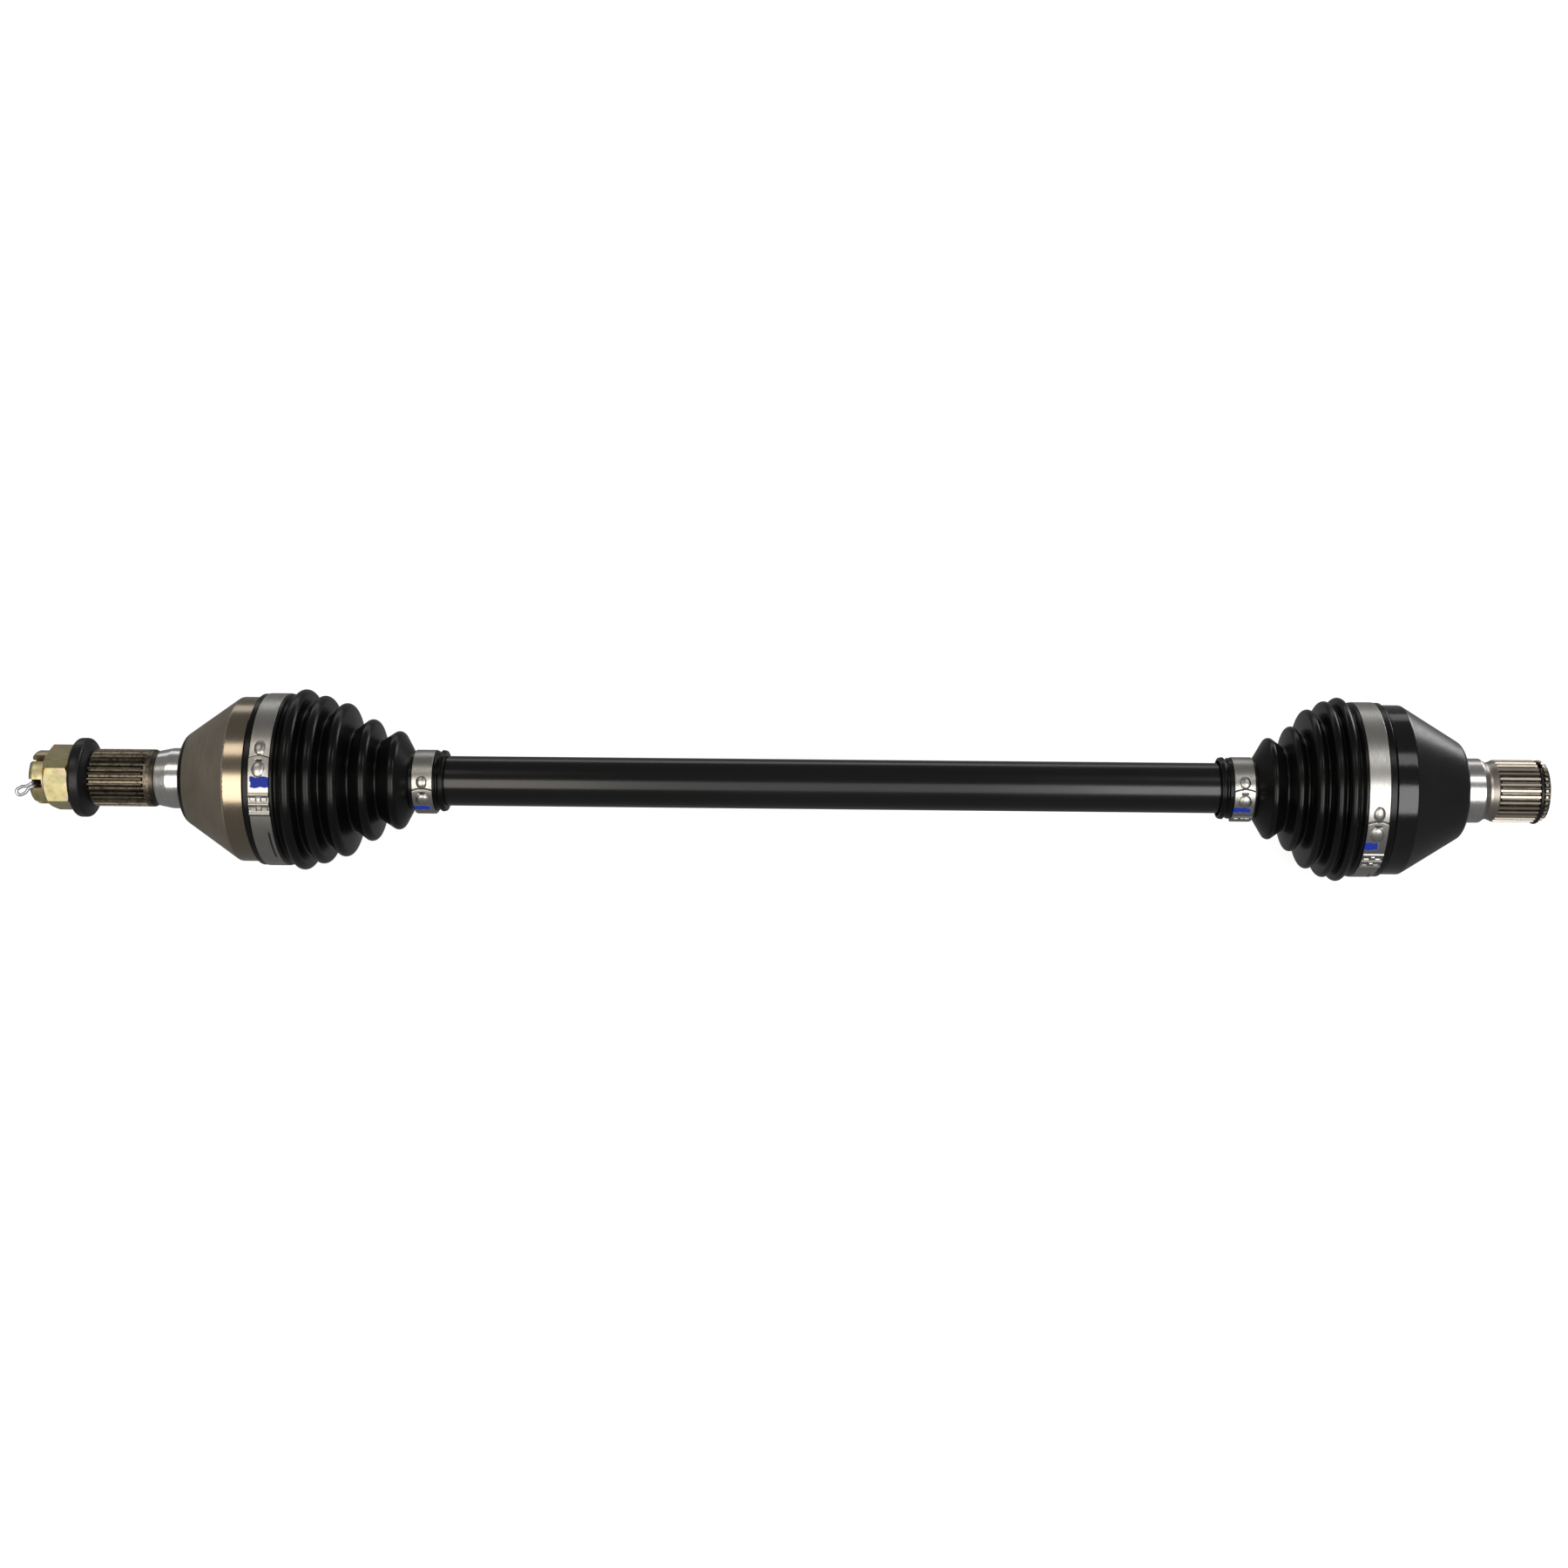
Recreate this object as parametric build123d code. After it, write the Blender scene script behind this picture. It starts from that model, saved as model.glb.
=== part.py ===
"""Half-shaft of an off-road vehicle: an axle bar with a ball joint at each end.

The row frame has +X along the axle, from the wheel end (outboard, -X) to the gearbox end
(inboard, +X), +Z up, and its origin on the axle's axis at the middle of its length.
All sizes are in millimetres.

Each ball joint is first made in its own frame: the joint's centre at the origin and its stub
along +X. `seat()` then puts it at its end of the bar.
"""
import os
from math import cos, degrees, pi, radians, sin

from build123d import *

os.makedirs("parts", exist_ok=True)

# ---------------------------------------------------------------- driving dimensions
OUT_CENTRE = -263.7         # joint centres along the axle
IN_CENTRE = 304.3
BAR_R = 12.7                # one-inch axle bar
FRONT = 45.0                # the axle's front side is turned up this far above -Y, degrees

# Ball joint, the same inside at both ends
BALL_R = 8.334              # 21/32 inch balls
PITCH_R = 27.8              # ball centres from the joint centre
BALLS = 6
TRACK_CLEAR = 0.35
OUT_TRACK_TWIST = 1.95      # half-angle between a gothic track's two arcs, degrees
IN_TRACK_TWIST = 0.8
SEAT_R = 31.2               # spherical seat in the housing
CAGE_OUT_R = 30.9
CAGE_IN_R = 25.2
CAGE_HALF = 12.5
WINDOW_LONG = 20.0
WINDOW_CLEAR = 0.1
RACE_R = 24.9
RACE_HALF = 10.5
MOUTH = -17.5               # open end of a housing
MOUTH_R = 33.5
BOOT_SEAT_R = 41.0          # turned-down land under a boot's large cuff
TRACK_DEPTH = 21.0

# Splines between bar and races
BAR_TEETH = 26
BAR_SPLINE_TIP = 12.2
BAR_SPLINE_ROOT = 11.1
SPLINE_CLEAR = 0.08

# Outboard stub
OUT_CUP_R = 42.0
OUT_CONE = 7.9              # where the cone starts
OUT_NOSE = 37.0             # shoulder that meets the wheel bearing
OUT_NOSE_R = 21.9
OUT_JOURNAL_R = 15.45
OUT_JOURNAL_END = 44.4
OUT_SPLINE = (56.1, 85.2)
OUT_SPLINE_TEETH = 30
OUT_SPLINE_TIP = 14.7
OUT_SPLINE_ROOT = 13.45
THREAD_R = 9.9              # M20 thread
STUB_END = 115.2
PIN_HOLE = 112.2            # cross hole for the split pin
PIN_HOLE_R = 1.9

# Inboard stub
IN_CUP_R = 42.6
IN_CONE = 8.4
IN_NOSE = 39.4
IN_NOSE_R = 23.4
IN_JOURNAL_R = 16.2
IN_JOURNAL_END = 48.9
IN_SPLINE = (55.6, 81.0)
IN_SPLINE_TEETH = 32
IN_SPLINE_TIP = 15.65
IN_SPLINE_ROOT = 14.2
RING_GROOVE = 77.0          # snap ring that locks the stub in the gearbox
RING_WIRE_R = 1.1
RING_R = 14.9
RING_DROP = 0.75            # the loose ring hangs low in its groove

# Castle nut, washer and split pin, along the outboard stub
NUT_FLATS = 30.0
NUT_BORE_R = 10.0
NUT_FOOT = 94.4
NUT_COLLAR = 108.3
NUT_TOP = 115.6
COLLAR_R = 13.7
NUT_SLOT = 4.6
PIN_BELOW = 15.0            # the split pin and a nut slot, degrees below the front
WASHER_R = 20.3
WASHER_BORE_R = 10.6
WASHER_HUB = (85.3, 94.3)   # its two faces round the bore
WASHER_RIM = (87.2, 93.6)
PIN_WIRE_R = 0.8
PIN_TWIST = 28.0            # the eye is turned this far about the pin's own line, degrees
PIN_LEAN = 20.0             # and stands off the nut's end by this angle

# Boots: (distance along the axle, outer radius) of each fold, from the large cuff
OUT_RIBS = [(-245.0, 41.9), (-239.8, 46.1), (-235.4, 38.6), (-230.1, 42.9), (-225.6, 34.0),
            (-218.9, 39.2), (-212.9, 26.6), (-205.6, 31.1), (-200.3, 20.6), (-191.9, 25.2),
            (-184.1, 14.6)]
IN_RIBS = [(285.6, 41.9), (282.1, 46.2), (278.9, 40.4), (275.6, 44.3), (271.5, 36.2),
           (267.4, 40.1), (263.1, 28.4), (259.3, 31.5), (254.4, 21.8), (248.2, 25.6),
           (240.7, 14.6)]
BOOT_WALL = 1.6
CREST_ROUND = 2.0           # along the middle of the wall
VALLEY_ROUND = 1.0
CUFF_GAP = 0.05
LIP_R = 43.75
SMALL_LIP_R = 15.5
OUT_LARGE_LIP = -260.8      # outer ends of the cuffs
OUT_SMALL_LIP = -167.4
IN_LARGE_LIP = 302.5
IN_SMALL_LIP = 223.1

# Boot clamps: middle of the band along the axle, and the angle of its overlap below the front
BAND_WIDE = 10.2
BAND_THICK = 0.75
LARGE_BAND_R = 43.25        # inside of a large band
SMALL_BAND_R = 15.0
OUT_LARGE_BAND = (-252.6, -15.0)
IN_LARGE_BAND = (293.9, 21.0)
OUT_SMALL_BAND = (-177.8, 16.0)
IN_SMALL_BAND = (234.4, 3.0)


# ---------------------------------------------------------------- helpers
def turned(*outline):
    """A solid of revolution about the axle. Each corner is (x, radius) or (x, radius, rounding)."""
    face = make_face(Polyline(*[corner[:2] for corner in outline], close=True))
    for x, r, *rounding in outline:
        if rounding:
            corner = face.vertices().sort_by_distance((x, r, 0))[0]
            face = fillet(corner, rounding[0])
    return revolve(face, Axis.X)


def front(angle, radius=1.0):
    """The point at that radius, that many degrees below the axle's front side."""
    turn = radians(angle - FRONT)
    return Vector(0, -radius * cos(turn), -radius * sin(turn))


def sector(x0, x1, r0, r1, start, arc):
    """A block of ring from angle `start` below the front, on round by `arc` degrees."""
    flat = Plane(origin=(0, 0, 0), x_dir=(1, 0, 0), z_dir=Vector(1, 0, 0).cross(front(start)))
    block = flat * Pos((x0 + x1) / 2, (r0 + r1) / 2) * Rectangle(x1 - x0, r1 - r0)
    return revolve(block, Axis.X, revolution_arc=arc)


def spline(x0, x1, teeth, root, tip):
    """A bar of straight-flanked spline teeth along the axle."""
    pitch = 2 * pi / teeth
    corners = []
    for tooth in range(teeth):
        for share, r in ((-0.36, root), (-0.17, tip), (0.17, tip), (0.36, root)):
            angle = (tooth + share) * pitch
            corners.append((r * cos(angle), r * sin(angle)))
    section = Plane.YZ.offset(x0) * make_face(Polyline(*corners, close=True))
    return extrude(section, x1 - x0)


def open_ring(x, ring_r, wire_r, gap_at, gap):
    """A snap ring of round wire at x, open by `gap` degrees about `gap_at` below the front."""
    middle = front(gap_at + gap / 2, ring_r)
    section = Plane(origin=(x, middle.Y, middle.Z), x_dir=(1, 0, 0),
                    z_dir=Vector(1, 0, 0).cross(front(gap_at + gap / 2))) * Circle(wire_r)
    return revolve(section, Axis.X, revolution_arc=360 - gap)


def tracks(twist, reach):
    """Cutters for the six ball tracks: gothic grooves, each of two arcs, up to `reach`."""
    cutters = []
    for pair in range(BALLS // 2):
        for side in (-twist, twist):
            angle = 90 + pair * 360 / BALLS + side
            cutters.append(Rot(angle, 0, 0) * Torus(PITCH_R, BALL_R + TRACK_CLEAR))
    slab = Pos((reach - 40) / 2, 0, 0) * Box(reach + 40, 100, 100)
    return [cutter & slab for cutter in cutters]


def seat(part, outboard):
    """Moves a part from the joint's own frame to its end of the axle."""
    if outboard:
        return Pos(OUT_CENTRE, 0, 0) * Rot(0, 0, 180) * part
    return Pos(IN_CENTRE, 0, 0) * part


def save(part, name):
    export_step(part, f"parts/{name}.step")


# ---------------------------------------------------------------- ball joint insides
def inner_race(twist):
    body = Sphere(RACE_R) & Box(2 * RACE_HALF, 60, 60)
    for cutter in tracks(twist, TRACK_DEPTH):
        body -= cutter
    bore = spline(-RACE_HALF - 1, RACE_HALF + 1, BAR_TEETH,
                  BAR_SPLINE_ROOT + SPLINE_CLEAR, BAR_SPLINE_TIP + SPLINE_CLEAR)
    return body - bore


def cage():
    body = (Sphere(CAGE_OUT_R) - Sphere(CAGE_IN_R)) & Box(2 * CAGE_HALF, 80, 80)
    window = Box(2 * (BALL_R + WINDOW_CLEAR), WINDOW_LONG, 20)
    window = Pos(0, 0, PITCH_R) * fillet(window.edges().filter_by(Axis.Z), 3.0)
    for number in range(BALLS):
        body -= Rot(number * 360 / BALLS, 0, 0) * window
    return body


def ball(number):
    """Ball 1 is on top, and the others follow round the axle."""
    angle = radians(90 + (number - 1) * 360 / BALLS)
    return Pos(0, PITCH_R * cos(angle), PITCH_R * sin(angle)) * Sphere(BALL_R)


def hollow(body, twist):
    """Cuts a housing's spherical seat, its flared mouth and its ball tracks."""
    body -= Sphere(SEAT_R)
    flare = 12.0
    body -= turned((MOUTH - 1, 0), (MOUTH - 1, MOUTH_R + 0.7), (MOUTH + flare / 2, 29.2),
                   (MOUTH + flare / 2, 0))
    for cutter in tracks(twist, TRACK_DEPTH):
        body -= cutter
    return body


# ---------------------------------------------------------------- housings with their stubs
def outboard_housing():
    spline_start, spline_end = OUT_SPLINE
    body = turned(
        (MOUTH, 0), (MOUTH, BOOT_SEAT_R, 0.8), (-2.5, BOOT_SEAT_R), (-2.5, OUT_CUP_R, 0.5),
        (OUT_CONE, OUT_CUP_R, 2.5), (OUT_NOSE, OUT_NOSE_R, 5.5), (OUT_NOSE, OUT_JOURNAL_R, 0.6),
        (OUT_JOURNAL_END, OUT_JOURNAL_R, 6.0), (50.8, 14.2, 1.0), (51.6, 13.9, 0.8),
        (52.6, 13.9, 0.8), (54.0, OUT_SPLINE_TIP, 1.0), (spline_start, OUT_SPLINE_TIP),
        (spline_start + 1.4, OUT_SPLINE_ROOT), (spline_end, OUT_SPLINE_ROOT),
        (spline_end, THREAD_R), (STUB_END - 1.2, THREAD_R), (STUB_END, THREAD_R - 1.2),
        (STUB_END, 0))
    teeth = spline(spline_start, spline_end, OUT_SPLINE_TEETH, OUT_SPLINE_ROOT, OUT_SPLINE_TIP)
    envelope = turned((spline_start, 0), (spline_start, OUT_SPLINE_TIP + 1),
                      (spline_end - 2.6, OUT_SPLINE_TIP + 1), (spline_end, OUT_SPLINE_ROOT),
                      (spline_end, 0))
    body = hollow(body + (teeth & envelope), OUT_TRACK_TWIST)
    return body - Pos(PIN_HOLE, 0, 0) * Rot(PIN_TURN - 90, 0, 0) * Cylinder(PIN_HOLE_R, 60)


def inboard_housing():
    spline_start, spline_end = IN_SPLINE
    body = turned(
        (MOUTH, 0), (MOUTH, BOOT_SEAT_R, 0.8), (-1.4, BOOT_SEAT_R), (-1.4, IN_CUP_R, 0.5),
        (IN_CONE, IN_CUP_R, 2.0), (IN_NOSE, IN_NOSE_R, 5.0), (IN_NOSE, IN_JOURNAL_R, 0.6),
        (IN_JOURNAL_END, IN_JOURNAL_R, 1.5), (51.6, 14.3, 1.0), (53.0, 14.3, 1.0),
        (spline_start, IN_SPLINE_TIP - 0.4), (spline_start + 1.6, IN_SPLINE_ROOT),
        (spline_end, IN_SPLINE_ROOT), (spline_end, 0))
    teeth = spline(spline_start, spline_end, IN_SPLINE_TEETH, IN_SPLINE_ROOT, IN_SPLINE_TIP)
    envelope = turned((spline_start, 0), (spline_start, IN_SPLINE_TIP - 0.4),
                      (spline_start + 0.8, IN_SPLINE_TIP + 0.4),
                      (spline_end - 2.2, IN_SPLINE_TIP + 0.4),
                      (spline_end, IN_SPLINE_ROOT - 0.4), (spline_end, 0))
    body = hollow(body + (teeth & envelope), IN_TRACK_TWIST)
    groove_half = RING_WIRE_R + 0.15
    groove = turned((RING_GROOVE - groove_half, 13.0), (RING_GROOVE + groove_half, 13.0),
                    (RING_GROOVE + groove_half, 20), (RING_GROOVE - groove_half, 20))
    return body - groove


def gearbox_snap_ring():
    ring = open_ring(RING_GROOVE, RING_R, RING_WIRE_R, -60, 24)
    return Pos(IN_CENTRE, 0, -RING_DROP) * ring


# ---------------------------------------------------------------- axle bar and its rings
BAR_OUT_END = OUT_CENTRE - 15.5      # bar ends, and the rings that hold the races
BAR_IN_END = IN_CENTRE + 26.0
RACE_RING_OUT = OUT_CENTRE - 12.0
RACE_RING_IN = IN_CENTRE + 23.8
RING_SECTION = 0.8
STOP_RING_R = 12.1


def axle_bar():
    neck = 11.0
    out_spline = OUT_CENTRE + RACE_HALF + 0.4
    in_spline = IN_CENTRE - RACE_HALF - 4.0
    body = turned(
        (BAR_OUT_END, 0), (BAR_OUT_END, neck - 1.2), (BAR_OUT_END + 1.2, neck),
        (out_spline, neck), (out_spline, BAR_R, 0.5), (OUT_SMALL_LIP - 14, BAR_R),
        (in_spline, BAR_R, 0.5), (in_spline, neck), (BAR_IN_END - 1.2, neck),
        (BAR_IN_END, neck - 1.2), (BAR_IN_END, 0))
    for start, end in ((BAR_OUT_END, out_spline), (in_spline, BAR_IN_END)):
        teeth = spline(start, end, BAR_TEETH, BAR_SPLINE_ROOT, BAR_SPLINE_TIP)
        body += teeth & turned(
            (start, 0), (start, neck - 0.8), (start + 2.2, BAR_SPLINE_TIP + 0.6),
            (end - 2.2, BAR_SPLINE_TIP + 0.6), (end, neck - 0.8), (end, 0))
    for ring in (RACE_RING_OUT, RACE_RING_IN):
        half = RING_SECTION + 0.1
        body -= turned((ring - half, 10.9), (ring + half, 10.9), (ring + half, 20),
                       (ring - half, 20))
    return body


# ---------------------------------------------------------------- castle nut, washer, split pin
PIN_TURN = FRONT - PIN_BELOW         # the pin's line above the horizontal, in the joint's frame


def castle_nut():
    hexagon = Plane.YZ.offset(NUT_FOOT) * Rot(0, 0, PIN_TURN) * RegularPolygon(
        NUT_FLATS / 2, 6, major_radius=False, rotation=30)
    across = NUT_FLATS / 2 / cos(radians(30))
    corner_cut = 1.5
    body = extrude(hexagon, NUT_COLLAR - NUT_FOOT) & turned(
        (NUT_FOOT, 0), (NUT_FOOT, across - corner_cut), (NUT_FOOT + 0.8, across),
        (NUT_COLLAR - 3.0, across), (NUT_COLLAR, across - 4.2), (NUT_COLLAR, 0))
    body += turned((NUT_COLLAR - 1, 0), (NUT_COLLAR - 1, COLLAR_R), (NUT_TOP, COLLAR_R, 2.6),
                   (NUT_TOP, 0))
    body -= turned((NUT_FOOT, 0), (NUT_FOOT, NUT_BORE_R + 0.9), (NUT_FOOT + 0.9, NUT_BORE_R),
                   (NUT_TOP, NUT_BORE_R), (NUT_TOP, 0))
    slot = Pos((NUT_COLLAR + NUT_TOP + 1) / 2, 0, 0) * Box(
        NUT_TOP - NUT_COLLAR + 1, 60, NUT_SLOT)
    for number in range(3):
        body -= Rot(PIN_TURN + number * 60, 0, 0) * slot
    return body


def cone_washer():
    """A thick spring washer, coned towards the joint, with a heavy rounded rim."""
    hub_in, hub_out = WASHER_HUB
    rim_in, rim_out = WASHER_RIM
    return turned((hub_in, WASHER_BORE_R, 0.6), (hub_out, WASHER_BORE_R, 0.6),
                  (hub_out, 14.5), (rim_out, 17.0), (rim_out, WASHER_R, 2.0),
                  (rim_in, WASHER_R, 2.0), (rim_in, 18.0), (hub_in, 13.5))


def split_pin():
    """Two legs through the stub, their tips spread, and an eye bent over outside the nut."""
    leg = PIN_WIRE_R + 0.03
    eye_half = 1.75
    bend = 14.8
    x, z = cos(radians(PIN_LEAN)), sin(radians(PIN_LEAN))
    half = [(0, 5.2, -17.8), (0, 1.4, -14.8), (0, leg, -12.4), (0, leg, bend),
            (3.2 * x, leg, bend + 3.2 * z), (5.0 * x, eye_half, bend + 5.0 * z),
            (8.8 * x, eye_half, bend + 8.8 * z)]
    rounding = [3.0, 4.0, 1.5, 1.5, 1.2, 1.6]
    other = [(x, -y, z) for x, y, z in reversed(half)]
    path = FilletPolyline(*half, *other, radius=rounding + rounding[::-1])
    wire = sweep(Plane(origin=path @ 0, z_dir=path % 0) * Circle(PIN_WIRE_R), path=path)
    return Rot(0, 0, PIN_TWIST) * wire


# ---------------------------------------------------------------- boots
def pleats(ribs):
    """Corners along the middle of the folds' wall, moved out so that the rounded folds reach `ribs`."""
    middle = [Vector(x, r - BOOT_WALL / 2) for x, r in ribs]
    corners = [middle[0]]
    for number in range(1, len(ribs) - 1):
        crest = number % 2 == 1
        before = middle[number] - middle[number - 1]
        after = middle[number + 1] - middle[number]
        half_turn = radians(before.get_angle(after)) / 2
        size = CREST_ROUND if crest else -VALLEY_ROUND
        corners.append(middle[number] + Vector(0, size * (1 / cos(half_turn) - 1)))
    return [(corner.X, corner.Y) for corner in [*corners, middle[-1]]]


def boot(ribs, large_lip, small_lip):
    """A bellows of one moulded wall between two cuffs."""
    toward = 1 if small_lip > large_lip else -1
    folds = pleats(ribs)
    last = folds[-1]
    mouth = (OUT_CENTRE if toward > 0 else IN_CENTRE) - MOUTH * toward
    folds.append((last[0] + 3 * toward, last[1]))
    rounding = [CREST_ROUND, VALLEY_ROUND] * (len(ribs) // 2 - 1) + [CREST_ROUND, 1.6]
    bellows = revolve(trace(FilletPolyline(*folds, radius=rounding), BOOT_WALL), Axis.X)
    inside = BOOT_SEAT_R + CUFF_GAP
    band, _ = OUT_LARGE_BAND if toward > 0 else IN_LARGE_BAND
    half = BAND_WIDE / 2 + 0.2
    groove = LARGE_BAND_R - 0.05
    large = turned((large_lip, inside), (large_lip, LIP_R, 0.5),
                   (band - half * toward, LIP_R), (band - half * toward, groove),
                   (band + half * toward, groove), (mouth + 1.6 * toward, groove),
                   (mouth + 1.6 * toward, inside))
    small_band, _ = OUT_SMALL_BAND if toward > 0 else IN_SMALL_BAND
    small_groove = SMALL_BAND_R - 0.05
    bore = BAR_R + CUFF_GAP
    small = turned((last[0], bore), (last[0], small_groove),
                   (small_band + half * toward, small_groove),
                   (small_band + half * toward, SMALL_LIP_R - 0.2),
                   (small_lip - 4.4 * toward, SMALL_LIP_R - 0.3, 0.3),
                   (small_lip - 3.2 * toward, SMALL_LIP_R - 1.2, 0.6),
                   (small_lip - 2.2 * toward, SMALL_LIP_R + 0.3, 0.8),
                   (small_lip, SMALL_LIP_R - 0.2, 0.6), (small_lip, bore))
    return large + bellows + small


# ---------------------------------------------------------------- boot clamps
def clamp(inner, place, scale):
    """A band that laps over itself, with its hook, its tension ridges and its guide slot.

    `scale` shortens the lap for a small band. Places round the band are arc lengths in
    millimetres from the lap's end, turned to angles by the band's radius.
    """
    middle, start = place
    outer = inner + BAND_THICK
    x0, x1 = middle - BAND_WIDE / 2, middle + BAND_WIDE / 2

    def block(s0, s1, wide, low, high):
        per_mm = degrees(1 / outer) * scale
        return sector(middle - wide / 2, middle + wide / 2, outer + low, outer + high,
                      start + s0 * per_mm, (s1 - s0) * per_mm)

    body = turned((x0, inner), (x1, inner), (x1, outer), (x0, outer))
    body += block(0, 30.4, BAND_WIDE, -0.2, 0.5)            # outer lap
    body += block(-7.2, -1.2, 5.2, -0.2, 0.9)               # first tooth, under the lap's end
    body += block(3.2, 10.2, 5.8, 0.2, 1.4)                 # second tooth, in its window
    for ridge in (18.2, 23.0, 27.8):                        # tension ridges
        body += block(ridge, ridge + 2.2, BAND_WIDE, 0.2, 1.3)
    body += block(18.2, 30.0, 2.6, 0.2, 1.0)
    return body - Pos(0.3 * BAND_WIDE, 0, 0) * block(40, 60, 0.9, -BAND_THICK / 2, 0.2)


# ---------------------------------------------------------------- all the pieces
def main():
    save(axle_bar(), "axle_bar")
    for side, outboard, twist in (("outboard", True, OUT_TRACK_TWIST),
                                  ("inboard", False, IN_TRACK_TWIST)):
        save(seat(inner_race(twist), outboard), f"{side}_inner_race")
        save(seat(cage(), outboard), f"{side}_cage")
        for number in range(1, BALLS + 1):
            save(seat(ball(number), outboard), f"{side}_ball_{number}")
    save(seat(outboard_housing(), True), "outboard_housing")
    save(seat(inboard_housing(), False), "inboard_housing")
    save(open_ring(RACE_RING_OUT, STOP_RING_R, RING_SECTION, 90, 30), "outboard_race_ring")
    save(open_ring(RACE_RING_IN, STOP_RING_R, RING_SECTION, 90, 30), "inboard_stop_ring")
    save(gearbox_snap_ring(), "gearbox_snap_ring")
    save(seat(castle_nut(), True), "castle_nut")
    save(seat(cone_washer(), True), "cone_washer")
    save(seat(Pos(PIN_HOLE, 0, 0) * Rot(PIN_TURN - 90, 0, 0) * split_pin(), True), "split_pin")
    save(boot(OUT_RIBS, OUT_LARGE_LIP, OUT_SMALL_LIP), "outboard_boot")
    save(boot(IN_RIBS, IN_LARGE_LIP, IN_SMALL_LIP), "inboard_boot")
    save(clamp(LARGE_BAND_R, OUT_LARGE_BAND, 1.0), "outboard_large_clamp")
    save(clamp(LARGE_BAND_R, IN_LARGE_BAND, 1.0), "inboard_large_clamp")
    save(clamp(SMALL_BAND_R, OUT_SMALL_BAND, 0.85), "outboard_small_clamp")
    save(clamp(SMALL_BAND_R, IN_SMALL_BAND, 0.85), "inboard_small_clamp")


main()
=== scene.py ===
"""Looks of the half-shaft: boots cut into lengths, materials, floor, lights and camera."""
import math

import bpy
from mathutils import Matrix, Vector

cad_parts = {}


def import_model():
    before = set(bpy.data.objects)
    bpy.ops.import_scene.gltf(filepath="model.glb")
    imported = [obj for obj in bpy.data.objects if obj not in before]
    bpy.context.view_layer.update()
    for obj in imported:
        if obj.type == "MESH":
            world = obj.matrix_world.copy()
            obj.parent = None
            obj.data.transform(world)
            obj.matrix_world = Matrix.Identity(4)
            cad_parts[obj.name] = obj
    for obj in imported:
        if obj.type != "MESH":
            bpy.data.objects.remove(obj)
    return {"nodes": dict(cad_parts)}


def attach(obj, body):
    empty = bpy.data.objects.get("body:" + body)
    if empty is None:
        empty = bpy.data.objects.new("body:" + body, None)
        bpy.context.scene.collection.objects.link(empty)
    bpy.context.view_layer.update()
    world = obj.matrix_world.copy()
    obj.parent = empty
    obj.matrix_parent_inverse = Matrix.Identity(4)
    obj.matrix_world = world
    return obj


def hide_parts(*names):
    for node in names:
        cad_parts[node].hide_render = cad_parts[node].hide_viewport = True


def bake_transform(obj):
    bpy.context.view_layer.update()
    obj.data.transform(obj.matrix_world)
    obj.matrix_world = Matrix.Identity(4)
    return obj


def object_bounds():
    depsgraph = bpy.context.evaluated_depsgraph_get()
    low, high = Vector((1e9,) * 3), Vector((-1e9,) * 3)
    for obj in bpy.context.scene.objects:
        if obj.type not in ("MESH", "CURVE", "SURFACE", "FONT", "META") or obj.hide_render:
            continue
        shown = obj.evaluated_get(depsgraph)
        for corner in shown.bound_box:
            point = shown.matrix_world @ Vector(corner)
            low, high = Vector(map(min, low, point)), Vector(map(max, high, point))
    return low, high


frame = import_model()
cad_low, cad_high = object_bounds()
nodes = frame["nodes"]

MM = 0.001
OUT_CENTRE = -263.7
IN_CENTRE = 304.3
FRONT = 45.0                # the axle's front side is turned up this far above -Y, degrees

# where the finishes change on each cup and stub: metres outward from its joint's centre
GROUND_BAND = (-0.004, 0.0076)      # outboard: the ground band beside the clamp
BLACK_NOSE = (0.0338, 0.0371)
OUT_STUB = (0.0369, 0.0372)
OUT_SEAT_END = (0.0502, 0.0510)     # the ground journal ends and the dark splines begin
OUT_TOOTH_TIPS = (0.01425, 0.0146)  # radii over which a painted highlight fades in on the splines' tips
PAINTED_CONE = (0.0080, 0.0092)     # inboard: the glossy rim ends
IN_STUB = (0.0393, 0.0396)
IN_SEAT_END = (0.0486, 0.0492)
IN_RELIEF = (0.0489, 0.0558)        # the turned relief between the journal and the splines
IN_TEETH = (0.0556, 0.0560)
# radii over which a painted highlight fades in on the inboard teeth's tips
IN_TOOTH_TIPS = (0.01440, 0.01545)
LINE_DRIFT = 0.00002                # how far turned lines wander for each degree round


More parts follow.
